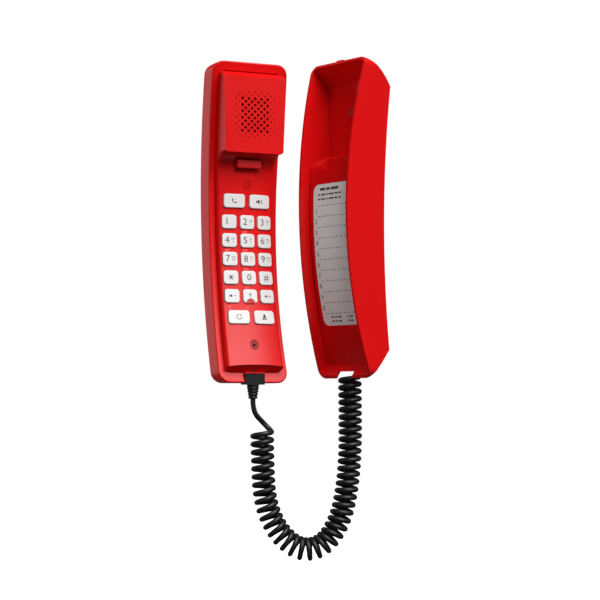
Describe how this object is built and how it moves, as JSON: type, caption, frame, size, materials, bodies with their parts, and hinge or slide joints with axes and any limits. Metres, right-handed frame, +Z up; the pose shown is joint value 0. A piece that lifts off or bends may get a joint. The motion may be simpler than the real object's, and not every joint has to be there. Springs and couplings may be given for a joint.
{
  "type": "wall telephone",
  "caption": "Slimline wall telephone: an arched wall cradle with a deep ear pocket, and a handset with a push-button keypad in its face, joined by a curly cord.",
  "frame": {"origin": "midpoint between the two keyhole slots of the wall plate, on the wall plane", "axes": "+Z up, +Y into the wall, +X to the right as seen by someone facing the wall"},
  "size_m": [0.1034, 0.0907, 0.3306],
  "materials": {
    "red_gloss": "bright red gloss ABS with a faint orange-peel grain",
    "plate": "black moulded wall plate",
    "steel": "zinc plated steel",
    "card": "grey printed card under a clear matt film",
    "board": "green circuit board",
    "black_plastic": "black plastic",
    "contacts": "gilt spring contacts",
    "clear_plastic": "clear plug",
    "cord": "black satin PVC cord",
    "cloth": "black acoustic cloth",
    "speaker": "black speaker frame",
    "mat": "grey silicone keypad mat",
    "capsule": "aluminium microphone can",
    "grommet": "soft black grommet",
    "red_lens": "translucent dark red",
    "emitter": "white light emitter",
    "switch": "black micro switch",
    "weight": "blackened iron bar",
    "red_button": "red switch button",
    "key_white": "warm white key, satin"
  },
  "bodies": {
    "cradle": {"cradle_shell": "red_gloss", "wall_plate": "plate", "cradle_screw": "steel", "speed_dial_card": "card", "cradle_circuit_board": "board", "network_jack": "black_plastic", "network_jack_contacts": "contacts", "cord_jack": "black_plastic", "cord_plug": "clear_plastic", "cord_tail": "cord", "cord_coil": "cord", "cord_lead": "cord"},
    "handset": {"handset_back_shell": "red_gloss", "handset_front_shell": "red_gloss", "earpiece_speaker": "speaker", "earpiece_cloth": "cloth", "keypad_mat": "mat", "handset_circuit_board": "board", "microphone_capsule": "capsule", "microphone_grommet": "grommet", "status_light_lens": "red_lens", "mute_light_lens": "red_lens", "light_emitters": "emitter", "hook_micro_switch": "switch", "handset_weight": "weight", "handset_screws": "steel", "cord_boot": "cord", "handset_wire_clip": "black_plastic"},
    "hook_switch": {"hook_switch_button": "red_button"},
    "key_call": {"key_call": "key_white"},
    "key_speaker": {"key_speaker": "key_white"},
    "key_1": {"key_1": "key_white"},
    "key_2": {"key_2": "key_white"},
    "key_3": {"key_3": "key_white"},
    "key_4": {"key_4": "key_white"},
    "key_5": {"key_5": "key_white"},
    "key_6": {"key_6": "key_white"},
    "key_7": {"key_7": "key_white"},
    "key_8": {"key_8": "key_white"},
    "key_9": {"key_9": "key_white"},
    "key_star": {"key_star": "key_white"},
    "key_0": {"key_0": "key_white"},
    "key_hash": {"key_hash": "key_white"},
    "key_volume_down": {"key_volume_down": "key_white"},
    "key_mute": {"key_mute": "key_white"},
    "key_volume_up": {"key_volume_up": "key_white"},
    "key_redial": {"key_redial": "key_white"},
    "key_voicemail": {"key_voicemail": "key_white"}
  },
  "joints": [
    {"name": "handset_off_hook", "type": "hinge", "parent": "cradle", "child": "handset", "pos_m": [-0.0354, -0.0295, 0], "axis": [0, 0, 1], "range_deg": [0, 105.5], "deforming": ["cord_coil", "cord_lead"]},
    {"name": "hook_switch_press", "type": "slide", "parent": "handset", "child": "hook_switch", "axis": [-0.9636, 0.2672, 0], "range_m": [0, 0.002], "stiffness_N_per_m": 400, "springref_m": -0.002},
    {"name": "key_call_press", "type": "slide", "parent": "handset", "child": "key_call", "axis": [-0.9332, 0.3591, 0.0147], "range_m": [0, 0.0012], "stiffness_N_per_m": 500, "springref_m": -0.0015},
    {"name": "key_speaker_press", "type": "slide", "parent": "handset", "child": "key_speaker", "axis": [-0.9849, 0.1728, 0.0147], "range_m": [0, 0.0012], "stiffness_N_per_m": 500, "springref_m": -0.0015},
    {"name": "key_1_press", "type": "slide", "parent": "handset", "child": "key_1", "axis": [-0.9185, 0.3943, -0.0301], "range_m": [0, 0.0012], "stiffness_N_per_m": 500, "springref_m": -0.0015},
    {"name": "key_2_press", "type": "slide", "parent": "handset", "child": "key_2", "axis": [-0.9632, 0.2671, -0.0301], "range_m": [0, 0.0012], "stiffness_N_per_m": 500, "springref_m": -0.0015},
    {"name": "key_3_press", "type": "slide", "parent": "handset", "child": "key_3", "axis": [-0.9904, 0.1351, -0.0301], "range_m": [0, 0.0012], "stiffness_N_per_m": 500, "springref_m": -0.0015},
    {"name": "key_4_press", "type": "slide", "parent": "handset", "child": "key_4", "axis": [-0.917, 0.3927, -0.0698], "range_m": [0, 0.0012], "stiffness_N_per_m": 500, "springref_m": -0.0015},
    {"name": "key_5_press", "type": "slide", "parent": "handset", "child": "key_5", "axis": [-0.9613, 0.2666, -0.0698], "range_m": [0, 0.0012], "stiffness_N_per_m": 500, "springref_m": -0.0015},
    {"name": "key_6_press", "type": "slide", "parent": "handset", "child": "key_6", "axis": [-0.9883, 0.1357, -0.0698], "range_m": [0, 0.0012], "stiffness_N_per_m": 500, "springref_m": -0.0015},
    {"name": "key_7_press", "type": "slide", "parent": "handset", "child": "key_7", "axis": [-0.9144, 0.3898, -0.1094], "range_m": [0, 0.0012], "stiffness_N_per_m": 500, "springref_m": -0.0015},
    {"name": "key_8_press", "type": "slide", "parent": "handset", "child": "key_8", "axis": [-0.9578, 0.2656, -0.1094], "range_m": [0, 0.0012], "stiffness_N_per_m": 500, "springref_m": -0.0015},
    {"name": "key_9_press", "type": "slide", "parent": "handset", "child": "key_9", "axis": [-0.9845, 0.1368, -0.1094], "range_m": [0, 0.0012], "stiffness_N_per_m": 500, "springref_m": -0.0015},
    {"name": "key_star_press", "type": "slide", "parent": "handset", "child": "key_star", "axis": [-0.9105, 0.3857, -0.1491], "range_m": [0, 0.0012], "stiffness_N_per_m": 500, "springref_m": -0.0015},
    {"name": "key_0_press", "type": "slide", "parent": "handset", "child": "key_0", "axis": [-0.9529, 0.2643, -0.1491], "range_m": [0, 0.0012], "stiffness_N_per_m": 500, "springref_m": -0.0015},
    {"name": "key_hash_press", "type": "slide", "parent": "handset", "child": "key_hash", "axis": [-0.9791, 0.1383, -0.1491], "range_m": [0, 0.0012], "stiffness_N_per_m": 500, "springref_m": -0.0015},
    {"name": "key_volume_down_press", "type": "slide", "parent": "handset", "child": "key_volume_down", "axis": [-0.9053, 0.3805, -0.1888], "range_m": [0, 0.0012], "stiffness_N_per_m": 500, "springref_m": -0.0015},
    {"name": "key_mute_press", "type": "slide", "parent": "handset", "child": "key_mute", "axis": [-0.9463, 0.2624, -0.1888], "range_m": [0, 0.0012], "stiffness_N_per_m": 500, "springref_m": -0.0015},
    {"name": "key_volume_up_press", "type": "slide", "parent": "handset", "child": "key_volume_up", "axis": [-0.972, 0.1401, -0.1888], "range_m": [0, 0.0012], "stiffness_N_per_m": 500, "springref_m": -0.0015},
    {"name": "key_redial_press", "type": "slide", "parent": "handset", "child": "key_redial", "axis": [-0.9103, 0.3417, -0.2336], "range_m": [0, 0.0012], "stiffness_N_per_m": 500, "springref_m": -0.0015},
    {"name": "key_voicemail_press", "type": "slide", "parent": "handset", "child": "key_voicemail", "axis": [-0.9563, 0.176, -0.2336], "range_m": [0, 0.0012], "stiffness_N_per_m": 500, "springref_m": -0.0015}
  ]
}
